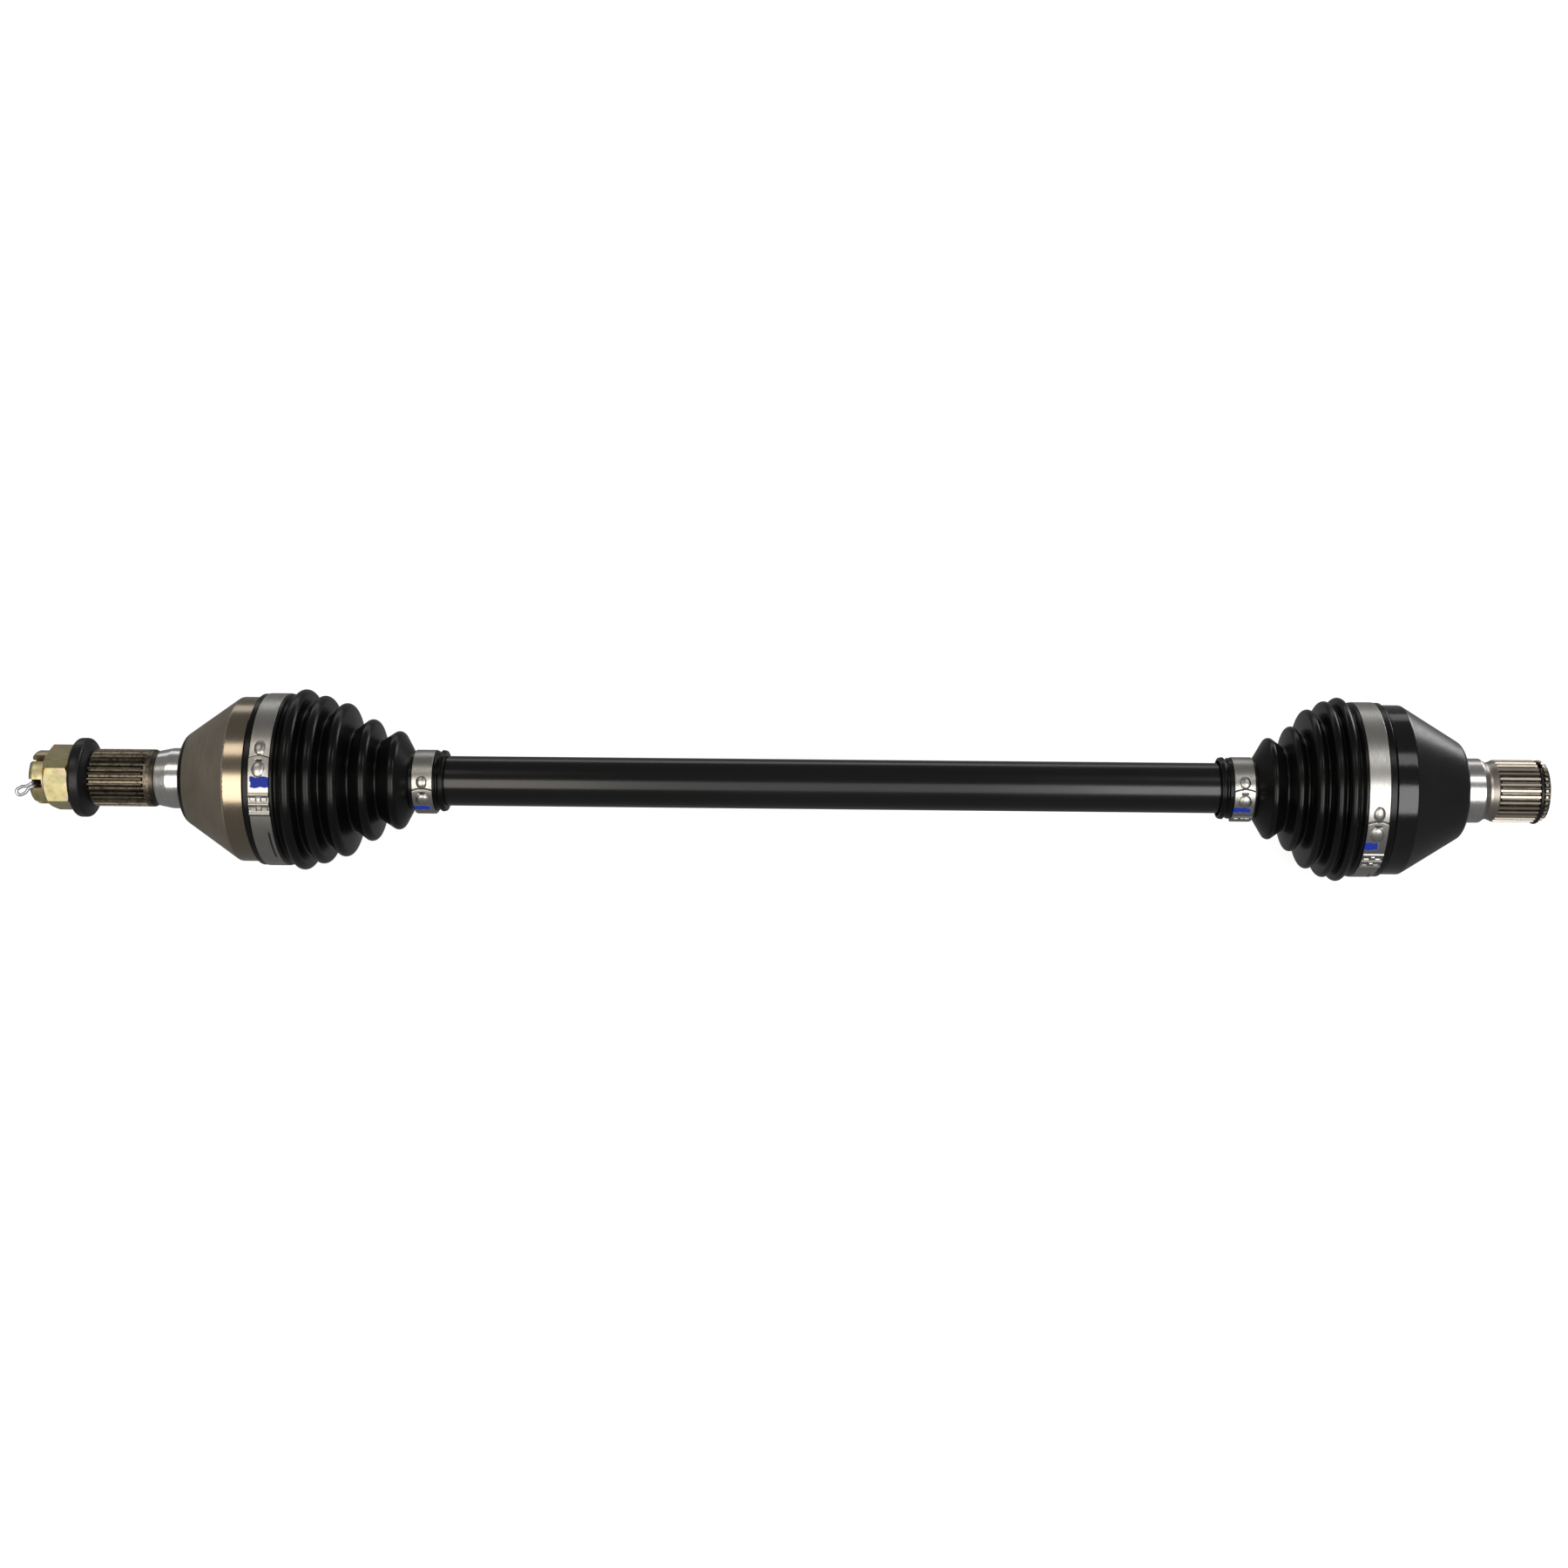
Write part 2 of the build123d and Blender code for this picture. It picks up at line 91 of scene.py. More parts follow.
# ---------------------------------------------------------------- material building
class Look:
    """A Principled material, with short calls for the nodes that drive it."""

    def __init__(self, name):
        self.material = bpy.data.materials.new(name)
        self.material.use_nodes = True
        self.tree = self.material.node_tree
        self.shader = self.tree.nodes["Principled BSDF"]
        place = self.tree.nodes.new("ShaderNodeTexCoord")
        split = self.tree.nodes.new("ShaderNodeSeparateXYZ")
        self.place = place.outputs["Object"]
        self.tree.links.new(self.place, split.inputs[0])
        self.x, self.y, self.z = split.outputs

    def put(self, value, socket):
        if isinstance(value, bpy.types.NodeSocket):
            self.tree.links.new(value, socket)
        elif socket.type == "RGBA" and len(value) == 3:
            socket.default_value = (*value, 1.0)
        else:
            socket.default_value = value

    def set(self, **values):
        for name, value in values.items():
            self.put(value, self.shader.inputs[name.replace("_", " ")])
        return self

    def math(self, operation, a, b=0.0, clamp=False):
        node = self.tree.nodes.new("ShaderNodeMath")
        node.operation = operation
        node.use_clamp = clamp
        self.put(a, node.inputs[0])
        self.put(b, node.inputs[1])
        return node.outputs[0]

    def radius(self):
        squares = self.math("ADD", self.math("MULTIPLY", self.y, self.y),
                            self.math("MULTIPLY", self.z, self.z))
        return self.math("SQRT", squares)

    def angle(self):
        """Degrees below the front side."""
        turn = self.math("ARCTAN2", self.math("MULTIPLY", self.z, -1.0),
                         self.math("MULTIPLY", self.y, -1.0))
        return self.math("ADD", self.math("DEGREES", turn), FRONT)

    def vector(self, x, y, z):
        node = self.tree.nodes.new("ShaderNodeCombineXYZ")
        for value, socket in zip((x, y, z), node.inputs):
            self.put(value, socket)
        return node.outputs[0]

    def noise(self, scale, detail=3.0, where=None, rough=0.5, distort=0.0):
        node = self.tree.nodes.new("ShaderNodeTexNoise")
        self.put(where or self.place, node.inputs["Vector"])
        node.inputs["Scale"].default_value = scale
        node.inputs["Detail"].default_value = detail
        node.inputs["Roughness"].default_value = rough
        node.inputs["Distortion"].default_value = distort
        return node.outputs["Fac"]

    def range(self, value, low, high, to_low=0.0, to_high=1.0):
        """Eases from to_low to to_high as the value goes from low to high."""
        node = self.tree.nodes.new("ShaderNodeMapRange")
        node.interpolation_type = "SMOOTHSTEP"
        self.put(value, node.inputs["Value"])
        node.inputs["From Min"].default_value = low
        node.inputs["From Max"].default_value = high
        node.inputs["To Min"].default_value = to_low
        node.inputs["To Max"].default_value = to_high
        return node.outputs["Result"]

    def between(self, value, low, high, soft):
        """1 where the value lies between low and high, 0 elsewhere."""
        rise = self.range(value, low - soft, low + soft)
        fall = self.range(value, high - soft, high + soft)
        return self.math("SUBTRACT", rise, fall, clamp=True)

    def mix(self, share, a, b, colour=True):
        node = self.tree.nodes.new("ShaderNodeMix")
        node.data_type = "RGBA" if colour else "FLOAT"
        first, second, out = (6, 7, 2) if colour else (2, 3, 0)
        self.put(share, node.inputs[0])
        self.put(a, node.inputs[first])
        self.put(b, node.inputs[second])
        return node.outputs[out]

    def ramp(self, value, *stops):
        node = self.tree.nodes.new("ShaderNodeValToRGB")
        elements = node.color_ramp.elements
        while len(elements) < len(stops):
            elements.new(1.0)
        for element, (place, colour) in zip(elements, stops):
            element.position = place
            element.color = (*colour, 1.0)
        self.put(value, node.inputs[0])
        return node.outputs[0]

    def bump(self, height, distance, strength):
        node = self.tree.nodes.new("ShaderNodeBump")
        node.inputs["Strength"].default_value = strength
        node.inputs["Distance"].default_value = distance
        self.put(height, node.inputs["Height"])
        return node.outputs[0]

    def turned_lines(self, scale):
        """Fine lines round the axle, as a lathe or grinder leaves them."""
        drift = self.math("MULTIPLY", self.angle(), LINE_DRIFT)
        return self.noise(scale, 2.0, self.vector(self.x, drift, self.radius()), 0.6)


# ---------------------------------------------------------------- materials
def gloss_bar():
    look = Look("gloss_black_bar")
    peel = look.noise(420.0, 2.0)
    dust = look.range(look.noise(1500.0, 2.0, rough=0.7), 0.66, 0.76)
    wipe = look.noise(9.0, 4.0, look.vector(look.math("MULTIPLY", look.x, 0.6), look.y, look.z))
    base = look.mix(look.math("MULTIPLY", dust, 0.25), (0.0022, 0.0024, 0.0024), (0.020, 0.020, 0.019))
    rough = look.range(wipe, 0.35, 0.7, 0.19, 0.29)
    return look.set(Base_Color=base, Roughness=rough, Specular_IOR_Level=0.32, Coat_Weight=0.12,
                    Coat_Roughness=0.10, Normal=look.bump(peel, 0.00002, 0.5))


def cup_steel():
    """Outboard cup and stub: oiled bare steel, a blackened nose, a ground journal, dark splines with a
    painted highlight on their tips.
    """
    look = Look("machined_steel_outboard")
    along = look.math("SUBTRACT", look.math("MULTIPLY", look.x, -1.0), -OUT_CENTRE * MM)
    lines = look.turned_lines(1900.0)
    stain = look.noise(26.0, 4.0, distort=0.6)
    fine = look.noise(2400.0, 2.0)
    cup = look.ramp(stain, (0.30, (0.275, 0.240, 0.190)), (0.52, (0.340, 0.300, 0.245)),
                    (0.74, (0.410, 0.370, 0.305)))
    cup = look.mix(look.range(lines, 0.40, 0.62, 0.0, 0.30), cup, (0.215, 0.185, 0.145))
    ground = look.between(along, *GROUND_BAND, 0.0004)
    cup = look.mix(look.math("MULTIPLY", ground, 0.8), cup, (0.27, 0.225, 0.165))
    rough = look.mix(ground, 0.46, 0.19, colour=False)
    nose = look.between(along, *BLACK_NOSE, 0.0004)
    colour = look.mix(nose, cup, (0.030, 0.022, 0.018))
    rough = look.mix(nose, rough, 0.30, colour=False)
    stub = look.range(along, *OUT_STUB)
    seat = look.mix(look.range(lines, 0.35, 0.7, 0.0, 0.4), (0.62, 0.62, 0.61), (0.46, 0.455, 0.45))
    dark = look.mix(look.range(look.noise(160.0, 3.0), 0.3, 0.7),
                    (0.040, 0.034, 0.026), (0.085, 0.072, 0.055))
    # painted highlight: lighter colour on the splines' tips, in random patches
    painted_tip_highlight = look.math("MULTIPLY", look.range(look.radius(), *OUT_TOOTH_TIPS),
                           look.range(look.noise(600.0, 3.0), 0.36, 0.56))
    dark = look.mix(painted_tip_highlight, dark, (0.15, 0.13, 0.10))
    after_seat = look.range(along, *OUT_SEAT_END)
    stub_colour = look.mix(after_seat, seat, dark)
    colour = look.mix(stub, colour, stub_colour)
    rough = look.mix(stub, rough, look.mix(after_seat, 0.21, 0.38, colour=False), colour=False)
    rough = look.math("ADD", rough, look.range(fine, 0.3, 0.7, -0.02, 0.04))
    return look.set(Base_Color=colour, Metallic=1.0, Roughness=rough,
                    Normal=look.bump(lines, 0.00003, 0.45))


def cup_paint():
    """Inboard cup: black paint, glossier on its rim; the stub is bare ground steel, with a painted
    highlight on its teeth's tips.
    """
    look = Look("black_cup_inboard")
    along = look.math("SUBTRACT", look.x, IN_CENTRE * MM)
    stub = look.range(along, *IN_STUB)
    lines = look.turned_lines(1900.0)
    peel = look.noise(520.0, 3.0)
    cone = look.range(along, *PAINTED_CONE)
    paint = look.mix(look.range(look.noise(34.0, 4.0), 0.35, 0.75),
                     (0.0018, 0.0019, 0.0021), (0.0040, 0.0041, 0.0044))
    paint_rough = look.mix(cone, look.range(peel, 0.3, 0.7, 0.12, 0.17),
                           look.range(peel, 0.3, 0.7, 0.28, 0.36), colour=False)
    seat = look.mix(look.range(lines, 0.35, 0.7, 0.0, 0.5), (0.56, 0.55, 0.54), (0.42, 0.41, 0.40))
    worn = look.noise(140.0, 3.0)
    flank = look.mix(look.range(worn, 0.3, 0.7), (0.075, 0.064, 0.052), (0.135, 0.118, 0.096))
    # painted highlight: the teeth are coloured lighter at their tips than on their flanks
    teeth = look.mix(look.range(look.radius(), *IN_TOOTH_TIPS), flank, (0.34, 0.30, 0.25))
    relief = look.between(along, *IN_RELIEF, 0.0003)
    bare = look.mix(relief, seat, (0.30, 0.275, 0.245))
    bare = look.mix(look.range(along, *IN_TEETH), bare, teeth)
    bare_rough = look.mix(look.range(along, *IN_SEAT_END), 0.24, 0.36, colour=False)
    return look.set(Base_Color=look.mix(stub, paint, bare), Metallic=stub,
                    Roughness=look.mix(stub, paint_rough, bare_rough, colour=False),
                    Specular_IOR_Level=0.36,
                    Normal=look.bump(look.mix(stub, peel, lines, colour=False), 0.00002, 0.5))


def rubber():
    look = Look("boot_rubber")
    place = look.tree.nodes.new("ShaderNodeUVMap").outputs[0]
    scale = look.tree.nodes.new("ShaderNodeMapping")
    scale.inputs["Scale"].default_value = (0.3, 0.1, 1.0)
    look.put(place, scale.inputs["Vector"])
    where = scale.outputs[0]
    cloud = look.noise(22.0, 4.0, where)
    grain = look.noise(420.0, 2.0, where, 0.5)
    colour = look.mix(look.range(cloud, 0.35, 0.75), (0.0014, 0.0015, 0.0015), (0.0034, 0.0035, 0.0034))
    rough = look.math("ADD", look.range(cloud, 0.3, 0.7, 0.21, 0.28),
                      look.range(grain, 0.3, 0.7, -0.01, 0.02))
    return look.set(Base_Color=colour, Roughness=rough, Specular_IOR_Level=0.18,
                    Normal=look.bump(grain, 0.00001, 0.2))


def band_steel(name, band_radius, middle, start, scale, mark):
    """Stainless strip, brushed along its length, with painted shade in its slots and other recesses, and a
    dab of blue paint on the lap.

    `mark` is where the dab lies: two arc lengths from the lap's end and two distances across
    from the band's middle, in millimetres.
    """
    look = Look(name)
    angle = look.angle()
    brushed = look.noise(1.0, 3.0, look.vector(look.math("MULTIPLY", look.x, 3400.0),
                                               look.math("MULTIPLY", angle, 0.12), look.radius()), 0.65)
    cloud = look.noise(48.0, 3.0)
    colour = look.mix(look.range(brushed, 0.35, 0.7), (0.40, 0.39, 0.37), (0.30, 0.29, 0.27))
    colour = look.mix(look.range(cloud, 0.4, 0.75, 0.0, 0.35), colour, (0.25, 0.24, 0.225))
    # painted shade: every surface sunk more than 0.12 mm below the plain band (slots, pockets, slit, the
    # groove at the lap's end, the band's inside) turns nearly black
    painted_recess_shade = look.range(look.radius(), (band_radius - 0.30) * MM, (band_radius - 0.12) * MM, 1.0, 0.0)
    colour = look.mix(painted_recess_shade, colour, (0.070, 0.066, 0.060))
    per_mm = math.degrees(1 / band_radius) * scale
    arc = look.math("DIVIDE", look.math("SUBTRACT", angle, start), per_mm)
    ragged = look.math("MULTIPLY", look.math("SUBTRACT", look.noise(260.0, 3.0), 0.5), 3.0)
    across = look.math("DIVIDE", look.math("SUBTRACT", look.x, middle * MM), MM)
    dab = look.math("MULTIPLY", look.between(look.math("ADD", arc, ragged), mark[0], mark[1], 0.25),
                    look.between(look.math("ADD", across, ragged), mark[2], mark[3], 0.3))
    colour = look.mix(dab, colour, (0.002, 0.016, 0.20))
    rough = look.mix(dab, look.range(brushed, 0.3, 0.7, 0.30, 0.40), 0.55, colour=False)
    metal = look.math("SUBTRACT", 1.0, dab)
    return look.set(Base_Color=colour, Metallic=metal, Roughness=rough, Specular_IOR_Level=0.2,
                    Normal=look.bump(brushed, 0.00002, 0.4))


def yellow_zinc():
    look = Look("yellow_zinc")
    sheen = look.noise(150.0, 4.0, distort=1.6)
    patch = look.noise(230.0, 3.0)
    gold = look.ramp(sheen, (0.30, (0.34, 0.25, 0.11)), (0.42, (0.44, 0.36, 0.18)),
                     (0.52, (0.37, 0.39, 0.22)), (0.60, (0.48, 0.32, 0.24)), (0.70, (0.50, 0.44, 0.28)))
    colour = look.mix(look.range(patch, 0.45, 0.75, 0.0, 0.45), gold, (0.36, 0.37, 0.23))
    rough = look.range(patch, 0.3, 0.7, 0.36, 0.50)
    return look.set(Base_Color=colour, Metallic=0.92, Roughness=rough,
                    Normal=look.bump(look.noise(520.0, 3.0), 0.00006, 0.5))


def plain_metal(name, light, dark, metallic, roughness, grain=700.0, height=0.00003, specular=0.5):
    look = Look(name)
    cloud = look.noise(90.0, 4.0)
    fine = look.noise(grain, 3.0, rough=0.6)
    colour = look.mix(look.range(cloud, 0.35, 0.7), light, dark)
    rough = look.range(fine, 0.3, 0.7, roughness - 0.05, roughness + 0.07)
    return look.set(Base_Color=colour, Metallic=metallic, Roughness=rough, Specular_IOR_Level=specular,
                    Normal=look.bump(fine, height, 0.6))


def ground_metal(name, light, dark, roughness):
    look = Look(name)
    lines = look.turned_lines(1500.0)
    colour = look.mix(look.range(lines, 0.35, 0.7), light, dark)
    rough = look.range(look.noise(200.0, 3.0), 0.3, 0.7, roughness - 0.03, roughness + 0.05)
    return look.set(Base_Color=colour, Metallic=1.0, Roughness=rough, Normal=look.bump(lines, 0.00002, 0.5))


def paint_node(name, look):
    """Gives a CAD node its material."""
    node = nodes[name]
    node.data.materials.clear()
    node.data.materials.append(look.material)


RUBBER = rubber()
BALL = ground_metal("ball_steel", (0.80, 0.80, 0.81), (0.66, 0.66, 0.68), 0.10)
RACE = ground_metal("race_steel", (0.48, 0.46, 0.44), (0.30, 0.29, 0.28), 0.26)
CAGE = plain_metal("cage_steel", (0.14, 0.13, 0.13), (0.08, 0.075, 0.075), 1.0, 0.36)
RING = plain_metal("black_ring", (0.018, 0.018, 0.02), (0.035, 0.034, 0.034), 0.8, 0.38)
WASHER = plain_metal("black_washer", (0.004, 0.004, 0.005), (0.007, 0.007, 0.008), 0.0, 0.34, 900.0,
                     specular=0.26)
PIN = plain_metal("pin_zinc", (0.46, 0.47, 0.49), (0.28, 0.29, 0.31), 1.0, 0.30, 900.0, 0.00001)

paint_node("axle_bar", gloss_bar())
paint_node("outboard_housing", cup_steel())
paint_node("inboard_housing", cup_paint())
paint_node("castle_nut", yellow_zinc())
paint_node("cone_washer", WASHER)
paint_node("split_pin", PIN)
for ring in ("gearbox_snap_ring", "outboard_race_ring", "inboard_stop_ring"):
    paint_node(ring, RING)
for side in ("outboard", "inboard"):
    paint_node(f"{side}_inner_race", RACE)
    paint_node(f"{side}_cage", CAGE)
    for number in range(1, 7):
        paint_node(f"{side}_ball_{number}", BALL)

# ---------------------------------------------------------------- boots
AROUND = 180                # faces round a boot
WALL = 0.8                  # thin, so that a bent boot's folds clear the bar
STEP = 0.7                  # longest stretch of a boot's section between two rings of points
OUT_CREST_ROUND = 3.0
IN_CREST_ROUND = 2.2
VALLEY_ROUND = 0.9
CUP_FLOOR = 41.05           # the boot's inside clears the cup's rim, and past its mouth the bar
BAR_FLOOR = 12.75
OUT_MOUTH, IN_MOUTH = -245.7, 286.3


def rounded(corners):
    """Points (x, r, normal x, normal r) along a section given by corners (x, r, rounding)."""
    path = []
    for n, (x, r, size) in enumerate(corners):
        here = Vector((x, r))
        if n in (0, len(corners) - 1):
            other = Vector(corners[1 if n == 0 else n - 1][:2])
            run = (other - here) if n == 0 else (here - other)
            run.normalize()
            path.append((here, Vector((-run.y, run.x))))
            continue
        before = (here - Vector(corners[n - 1][:2])).normalized()
        after = (Vector(corners[n + 1][:2]) - here).normalized()
        turn = math.atan2(before.x * after.y - before.y * after.x, before.dot(after))
        inset = size * abs(math.tan(turn / 2))
        start = here - before * inset
        side = 1 if turn > 0 else -1
        normal = Vector((-before.y, before.x))
        centre = start + normal * size * side
        pieces = max(2, int(abs(turn) / math.radians(9)))
        for k in range(pieces + 1):
            a = turn * k / pieces
            spun = Vector((normal.x * math.cos(a) - normal.y * math.sin(a),
                           normal.x * math.sin(a) + normal.y * math.cos(a)))
            path.append((centre - spun * size * side, spun))
    filled = [path[0]]
    for point, normal in path[1:]:
        last, last_normal = filled[-1]
        count = max(1, math.ceil((point - last).length / STEP))
        for k in range(1, count + 1):
            share = k / count
            filled.append((last.lerp(point, share), last_normal.lerp(normal, share).normalized()))
    return filled


def pleats(ribs, crest_round):
    """Section corners of the folds: arcs that just reach `ribs`, joined by their tangents.

    `ribs` runs along +X, as valley, crest, valley and so on.
    """
    arcs = []
    for n, (x, r) in enumerate(ribs):
        if n in (0, len(ribs) - 1):
            arcs.append((Vector((x, r)), 0.0))
        elif n % 2:
            arcs.append((Vector((x, r - crest_round)), -crest_round))
        else:
            arcs.append((Vector((x, r + VALLEY_ROUND)), VALLEY_ROUND))
    tangents = []
    for (centre, lift), (other, other_lift) in zip(arcs, arcs[1:]):
        gap = other - centre
        heading = math.atan2(gap.y, gap.x) - math.asin((other_lift - lift) / gap.length)
        along = Vector((math.cos(heading), math.sin(heading)))
        tangents.append((centre - Vector((-along.y, along.x)) * lift, along))
    corners = [(*ribs[0], 0.5)]
    for (p, u), (q, v), (_, lift) in zip(tangents, tangents[1:], arcs[1:]):
        reach = ((q.x - p.x) * v.y - (q.y - p.y) * v.x) / (u.x * v.y - u.y * v.x)
        meet = p + u * reach
        corners.append((meet.x, meet.y, abs(lift)))
    return [*corners, (*ribs[-1], 0.5)]


def boot_piece(name, section, floor, low, high):
    """One closed piece of a boot's wall, with the part of the section between two places on the axle."""
    part = [(p, n) for p, n in section if low - 1e-6 <= p.x <= high + 1e-6]
    rings = [(p.x, p.y) for p, _ in part]
    inner = [(x, max(floor(x), r - WALL)) for x, r in rings]
    vertices, faces, normals = [], [], []
    count = len(rings)
    for k in range(AROUND):
        a = 2 * math.pi * k / AROUND
        c, s = math.cos(a), math.sin(a)
        for x, r in rings + inner:
            vertices.append((x * MM, r * c * MM, r * s * MM))
    width = 2 * count

    def spun(normal, k):
        a = 2 * math.pi * k / AROUND
        return (normal.x, normal.y * math.cos(a), normal.y * math.sin(a))

    for k in range(AROUND):
        a, b = k * width, (k + 1) % AROUND * width
        for i in range(count - 1):
            faces.append((a + i, b + i, b + i + 1, a + i + 1))
            n0, n1 = part[i][1], part[i + 1][1]
            normals += [spun(n0, k), spun(n0, k + 1), spun(n1, k + 1), spun(n1, k)]
            j = count + i
            faces.append((a + j, a + j + 1, b + j + 1, b + j))
            normals += [spun(-n0, k), spun(-n1, k), spun(-n1, k + 1), spun(-n0, k + 1)]
        faces.append((a, a + count, b + count, b))
        normals += [(-1.0, 0.0, 0.0)] * 4
        end = count - 1
        faces.append((a + end, b + end, b + end + count, a + end + count))
        normals += [(1.0, 0.0, 0.0)] * 4
    mesh = bpy.data.meshes.new(name)
    mesh.from_pydata(vertices, [], faces)
    mesh.shade_smooth()
    layer = mesh.uv_layers.new(name="UVMap")
    for loop in mesh.loops:
        k, i = divmod(loop.vertex_index, width)
        layer.data[loop.index].uv = (k / AROUND, rings[i % count][0] * MM * 3.0 + rings[i % count][1] * MM)
    mesh.normals_split_custom_set(normals)
    mesh.materials.append(RUBBER.material)
    piece = bpy.data.objects.new(name, mesh)
    bpy.context.scene.collection.objects.link(piece)
    return piece


def split_at(section, places):
    """The section with a point added at each of the places along the axle."""
    out = [section[0]]
    for point, normal in section[1:]:
        last, last_normal = out[-1]
        for place in sorted(places):
            if last.x < place < point.x:
                share = (place - last.x) / (point.x - last.x)
                out.append((last.lerp(point, share), last_normal.lerp(normal, share).normalized()))
                last, last_normal = out[-1]
        out.append((point, normal))
    return out


def build_boot(side, section, floor, node, cuts, chain):
    """Cuts a boot into lengths, one between each two neighbouring cuts.

    `cuts` runs from the small cuff to the large one; `chain` is the bodies in the same order.
    """
    small_end, large_end = sorted((section[0][0].x, section[-1][0].x), reverse=cuts[0] > cuts[-1])
    section = split_at(section, cuts[1:-1])
    bounds = [small_end, *cuts[1:-1], large_end]
    for n in range(len(chain) - 1):
        low, high = sorted((bounds[n], bounds[n + 1]))
        piece = boot_piece(f"{side}_boot_{n + 1}", section, floor, low, high)
        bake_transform(piece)
        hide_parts(node)


# (place along the axle, outer radius): valley, crest, valley ... from the large cuff to the small one
OUT_RIBS = [(-245.0, 41.9), (-239.8, 46.1), (-235.4, 38.6), (-230.1, 42.9), (-225.6, 34.0),
            (-218.9, 39.2), (-212.9, 26.6), (-205.6, 31.1), (-200.3, 20.6), (-191.9, 25.2),
            (-184.1, 15.2)]
IN_RIBS = [(285.6, 41.9), (282.1, 46.2), (278.9, 40.4), (275.6, 44.3), (271.5, 36.2),
           (267.4, 40.1), (263.1, 28.4), (259.3, 31.5), (254.4, 21.8), (248.2, 25.6),
           (240.7, 15.2)]

# A boot is cut into lengths at these places along the axle; the chains list bodies in the same order. The
# first inner cut lies well past the small cuff, where the boot has room round the bar.
OUT_CUTS = [-193.0, -210.5, -221.0, -232.0, -246.5]
IN_CUTS = [240.7, 258.0, 263.5, 270.0, 278.0, 286.8]
OUT_CHAIN = ["axle", "outboard_upper_ball", "outboard_caged_balls", "outboard_lower_ball", "outboard_end"]
IN_CHAIN = ["axle", "inboard_race", "inboard_upper_ball", "inboard_caged_balls", "inboard_lower_ball",
            "inboard_end"]


def outboard_section():
    large = [(-260.8, 41.1, 0), (-260.8, 43.75, 0.6), (-257.8, 43.75, 0.25), (-257.6, 43.2, 0.1),
             (-247.5, 43.2, 0.1), (-247.3, 43.75, 0.25), (-246.3, 43.75, 0.4)]
    small = [(-183.1, 15.0, 0.6), (-172.5, 15.0, 0.1), (-172.4, 15.35, 0.1), (-171.8, 15.3, 0.3),
             (-170.8, 14.3, 0.6), (-169.6, 15.8, 0.8), (-167.4, 15.3, 0.6), (-167.4, 12.8, 0)]
    return rounded(large + pleats(OUT_RIBS, OUT_CREST_ROUND)[:-1] + [(-184.6, 15.2, 0.8)] + small[1:])


def inboard_section():
    small = [(223.1, 12.8, 0), (223.1, 15.3, 0.6), (225.3, 15.8, 0.8), (226.5, 14.3, 0.6),
             (227.5, 15.3, 0.3), (228.9, 15.35, 0.1), (229.0, 15.0, 0.1), (240.5, 15.1, 0.8)]
    large = [(287.6, 43.75, 0.4), (288.5, 43.75, 0.25), (288.7, 43.2, 0.1), (299.1, 43.2, 0.1),
             (299.3, 43.75, 0.25), (302.5, 43.75, 0.6), (302.5, 41.1, 0)]
    return rounded(small + pleats(IN_RIBS[::-1], IN_CREST_ROUND)[1:] + large)


def outboard_floor(x):
    """The smallest radius the boot's inside may have: the cup's, then the bar's."""
    return CUP_FLOOR if x < OUT_MOUTH else BAR_FLOOR


def inboard_floor(x):
    return CUP_FLOOR if x > IN_MOUTH else BAR_FLOOR


build_boot("outboard", outboard_section(), outboard_floor, "outboard_boot", OUT_CUTS, OUT_CHAIN)
build_boot("inboard", inboard_section(), inboard_floor, "inboard_boot", IN_CUTS, IN_CHAIN)


# ---------------------------------------------------------------- clamps
BAND_HALF = 5.1             # half the width of a band
BAND_THICK = 0.75
SLIT_ROUND = (40.0, 60.0)   # the long slit of a large band: round it from the lap's end,
SLIT_ACROSS = (2.6, 3.5)    # and across it from its middle
FINE, COARSE = 0.22, 1.0    # spacing of the points round a band, at the lap and elsewhere
ROW = 0.3                   # and across it
LAP_END = 30.4
RIDGES = (19.3, 24.1, 28.9)
POCKETS = (21.7, 26.5)

# outside radius, middle along the axle, lap's end in degrees below the front, scale of the lap,
# the blue dab's place on it, and the body that carries the clamp
CLAMPS = {
    "outboard_large_clamp": (44.0, -252.6, -15.0, 1.0, (10.6, 15.6, -4.0, 7.0), "outboard_end"),
    "inboard_large_clamp": (44.0, 293.9, 21.0, 1.0, (11.2, 15.8, -7.0, 1.2), "inboard_end"),
    "outboard_small_clamp": (15.75, -177.8, 16.0, 0.85, (11.4, 15.6, -7.0, 3.0), "axle"),
    "inboard_small_clamp": (15.75, 234.4, 3.0, 0.85, (11.0, 14.6, -7.0, 3.2), "axle"),
}


def ease(value):
    value = min(max(value, 0.0), 1.0)
    return value * value * (3.0 - 2.0 * value)


def within(value, low, high, soft=0.14):
    """1 between low and high, easing to 0 outside."""
    return ease((value - low) / soft + 0.5) - ease((value - high) / soft + 0.5)


def dome(s, w, middle, half_long, half_wide, height):
    """A pressed dome, oval and round-topped."""
    away = math.hypot((s - middle) / half_long, w / half_wide)
    return height * math.sqrt(max(0.0, 1.0 - away * away))


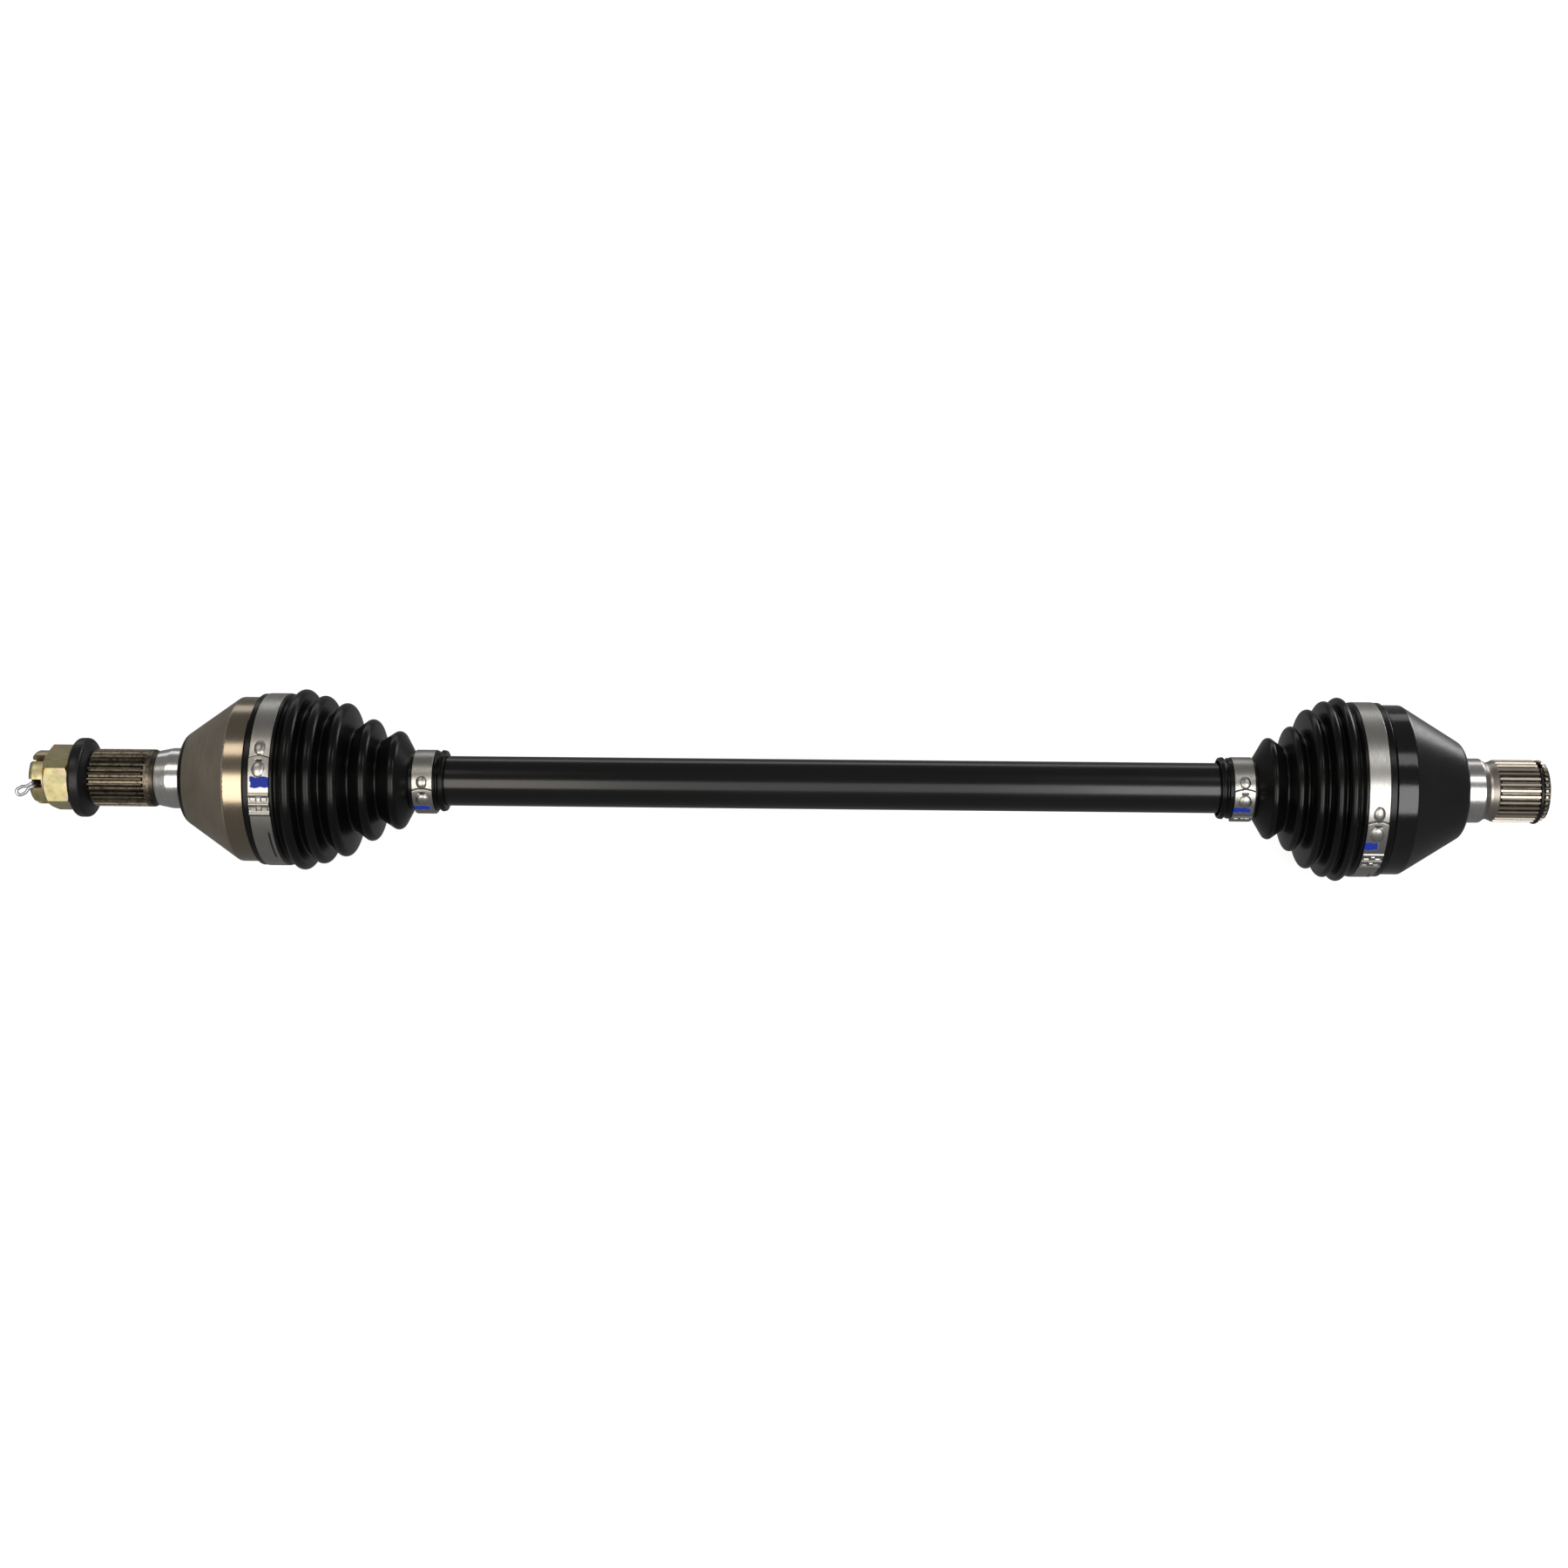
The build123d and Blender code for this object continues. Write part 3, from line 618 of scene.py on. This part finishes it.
def relief(s, w, slit):
    """Height over the plain band, `s` round from the lap's end and `w` across from its middle."""
    side = abs(w)
    tongue = 1.2 * (w / BAND_HALF) ** 2
    height = 0.5 * within(s, tongue, LAP_END)
    # a groove at the lap's end, which the steel's painted recess shade colours as a dark line
    height -= 0.45 * within(s, tongue - 0.5, tongue - 0.05)
    height += dome(s, w, -4.1, 3.6, 2.6, 1.15)
    height += dome(s, w, 6.9, 3.9, 3.1, 1.1)
    height -= 0.9 * within(s, 1.9, 2.9) * within(side, -1.0, 1.5)
    for ridge in RIDGES:
        height += 0.6 * ease(1.0 - abs(s - ridge) / 1.25)
    for pocket in POCKETS:
        near = within(s, pocket - 1.0, pocket + 1.0)
        height += 0.5 * near * within(side, -1.0, 1.1, 0.4)
        height -= 0.6 * near * within(side, 1.3, 4.2, 0.3)
    if slit:
        height -= 0.5 * within(s, *SLIT_ROUND, 1.0) * within(w, *SLIT_ACROSS, 0.3)
    edge = ease((side - BAND_HALF + 0.15) / 0.15)
    return height - 0.09 * edge


def build_clamp(name, radius, middle, start, scale, mark, body):
    per_mm = math.degrees(1 / radius) * scale
    round_trip = 360.0 / per_mm
    places = [-10.0 + k * FINE for k in range(int(43.0 / FINE) + 1)]
    rest = round_trip - 10.0 - places[-1]
    count = int(rest / COARSE)
    places += [places[-1] + rest * k / count for k in range(1, count)]
    rows = int(2 * BAND_HALF / ROW)
    across = [-BAND_HALF + 2 * BAND_HALF * k / rows for k in range(rows + 1)]
    across = [across[0], across[0] + 0.12, *across[1:-1], across[-1] - 0.12, across[-1]]
    slit = scale == 1.0
    inner = radius - BAND_THICK
    vertices, faces = [], []
    for s in places:
        turn = math.radians(start + s * per_mm - FRONT)
        ring = [(w, radius + relief(s, w, slit)) for w in across]
        for w, r in [*ring, (across[-1], inner), (across[0], inner)]:
            vertices.append(((middle + w) * MM, -r * math.cos(turn) * MM, -r * math.sin(turn) * MM))
    width = len(across) + 2
    for k in range(len(places)):
        a, b = k * width, (k + 1) % len(places) * width
        for i in range(width):
            j = (i + 1) % width
            faces.append((a + i, a + j, b + j, b + i))
    mesh = bpy.data.meshes.new(name + "_band")
    mesh.from_pydata(vertices, [], faces)
    mesh.shade_smooth()
    mesh.set_sharp_from_angle(angle=math.radians(70))
    mesh.materials.append(band_steel(name + "_steel", radius, middle, start, scale, mark).material)
    piece = bpy.data.objects.new(name + "_band", mesh)
    bpy.context.scene.collection.objects.link(piece)
    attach(piece, body)
    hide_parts(name)


for clamp, facts in CLAMPS.items():
    build_clamp(clamp, *facts)


# ---------------------------------------------------------------- floor, lights, camera
def floor():
    """A bright floor that the object's glossy surfaces don't mirror."""
    low = cad_low.z
    size = 9.0
    mesh = bpy.data.meshes.new("floor")
    mesh.from_pydata([(-size, -size, low), (size, -size, low), (size, size, low), (-size, size, low)],
                     [], [(0, 1, 2, 3)])
    look = Look("pale_floor")
    tone = look.noise(3.0, 2.0)
    look.set(Base_Color=look.mix(tone, (0.30, 0.30, 0.30), (0.33, 0.33, 0.33)), Roughness=0.7,
             Specular_IOR_Level=0.1, Emission_Color=(1.0, 1.0, 1.0), Emission_Strength=0.84)
    mesh.materials.append(look.material)
    plane = bpy.data.objects.new("floor", mesh)
    plane.visible_glossy = False
    bpy.context.scene.collection.objects.link(plane)


def softbox(name, elevation, distance, length, height, radiance, x=0.0, tint=(1.0, 1.0, 1.0)):
    """A soft panel, `elevation` degrees above the -Y horizon, square to the axle at `x`."""
    data = bpy.data.lights.new(name, "AREA")
    data.shape = "RECTANGLE"
    data.size = length
    data.size_y = height
    data.energy = radiance * math.pi * length * height
    data.color = tint
    lamp = bpy.data.objects.new(name, data)
    a = math.radians(elevation)
    back = Vector((0.0, -math.cos(a), math.sin(a)))
    right = Vector((1.0, 0.0, 0.0))
    up = back.cross(right)
    spot = Vector((x, 0.0, 0.0)) + back * distance
    lamp.matrix_world = Matrix.Translation(spot) @ Matrix((right, up, back)).transposed().to_4x4()
    bpy.context.scene.collection.objects.link(lamp)


def lights():
    """Front panels side by side, short strips overhead at both ends, and dim panels behind."""
    warm = (1.0, 0.93, 0.83)
    softbox("front_left", 32.0, 1.7, 1.1, 1.15, 4.6, -0.85, warm)
    softbox("front_middle", 32.0, 1.7, 0.64, 1.15, 1.5, 0.02)
    softbox("front_right", 32.0, 1.7, 1.1, 1.15, 6.4, 0.9)
    softbox("top_left", 86.0, 1.5, 0.9, 0.42, 3.2, -0.95, warm)
    softbox("top_right", 86.0, 1.5, 0.8, 0.42, 3.6, 0.95)
    softbox("back_panel", 160.0, 1.8, 3.0, 0.5, 1.3)
    softbox("back_right", 165.0, 1.22, 0.8, 0.8, 5.5, 1.35)


def world():
    """White to the camera, dimmer as light, so that black paint stays black."""
    sky = bpy.data.worlds.new("studio")
    bpy.context.scene.world = sky
    sky.use_nodes = True
    tree = sky.node_tree
    shade = tree.nodes["Background"]
    rays = tree.nodes.new("ShaderNodeLightPath")
    level = tree.nodes.new("ShaderNodeMapRange")
    level.inputs["To Min"].default_value = 0.22
    level.inputs["To Max"].default_value = 0.96
    tree.links.new(rays.outputs["Is Camera Ray"], level.inputs["Value"])
    tree.links.new(level.outputs["Result"], shade.inputs["Strength"])
    shade.inputs["Color"].default_value = (1.0, 1.0, 1.0, 1.0)


def camera():
    """Level with the axle's front side, from nearly square on, a little nearer its inboard end."""
    distance, yaw, roll = 1.056, math.radians(1.7), math.radians(0.55)
    elevation = math.radians(FRONT)
    target = Vector((4.3 * MM, 0, 0))
    forward = Vector((-math.sin(yaw), math.cos(yaw) * math.cos(elevation),
                      -math.cos(yaw) * math.sin(elevation)))
    level = Vector((math.cos(yaw), math.sin(yaw) * math.cos(elevation),
                    -math.sin(yaw) * math.sin(elevation)))
    upward = level.cross(forward)
    right = level * math.cos(roll) + upward * math.sin(roll)
    up = right.cross(forward)
    data = bpy.data.cameras.new("camera")
    data.sensor_width = 36.0
    data.lens = 47.72
    view = bpy.data.objects.new("camera", data)
    view.matrix_world = Matrix.Translation(target - forward * distance) @ Matrix(
        (right, up, -forward)).transposed().to_4x4()
    bpy.context.scene.collection.objects.link(view)
    bpy.context.scene.camera = view


floor()
lights()
world()
camera()
bpy.context.scene.view_settings.view_transform = "Standard"
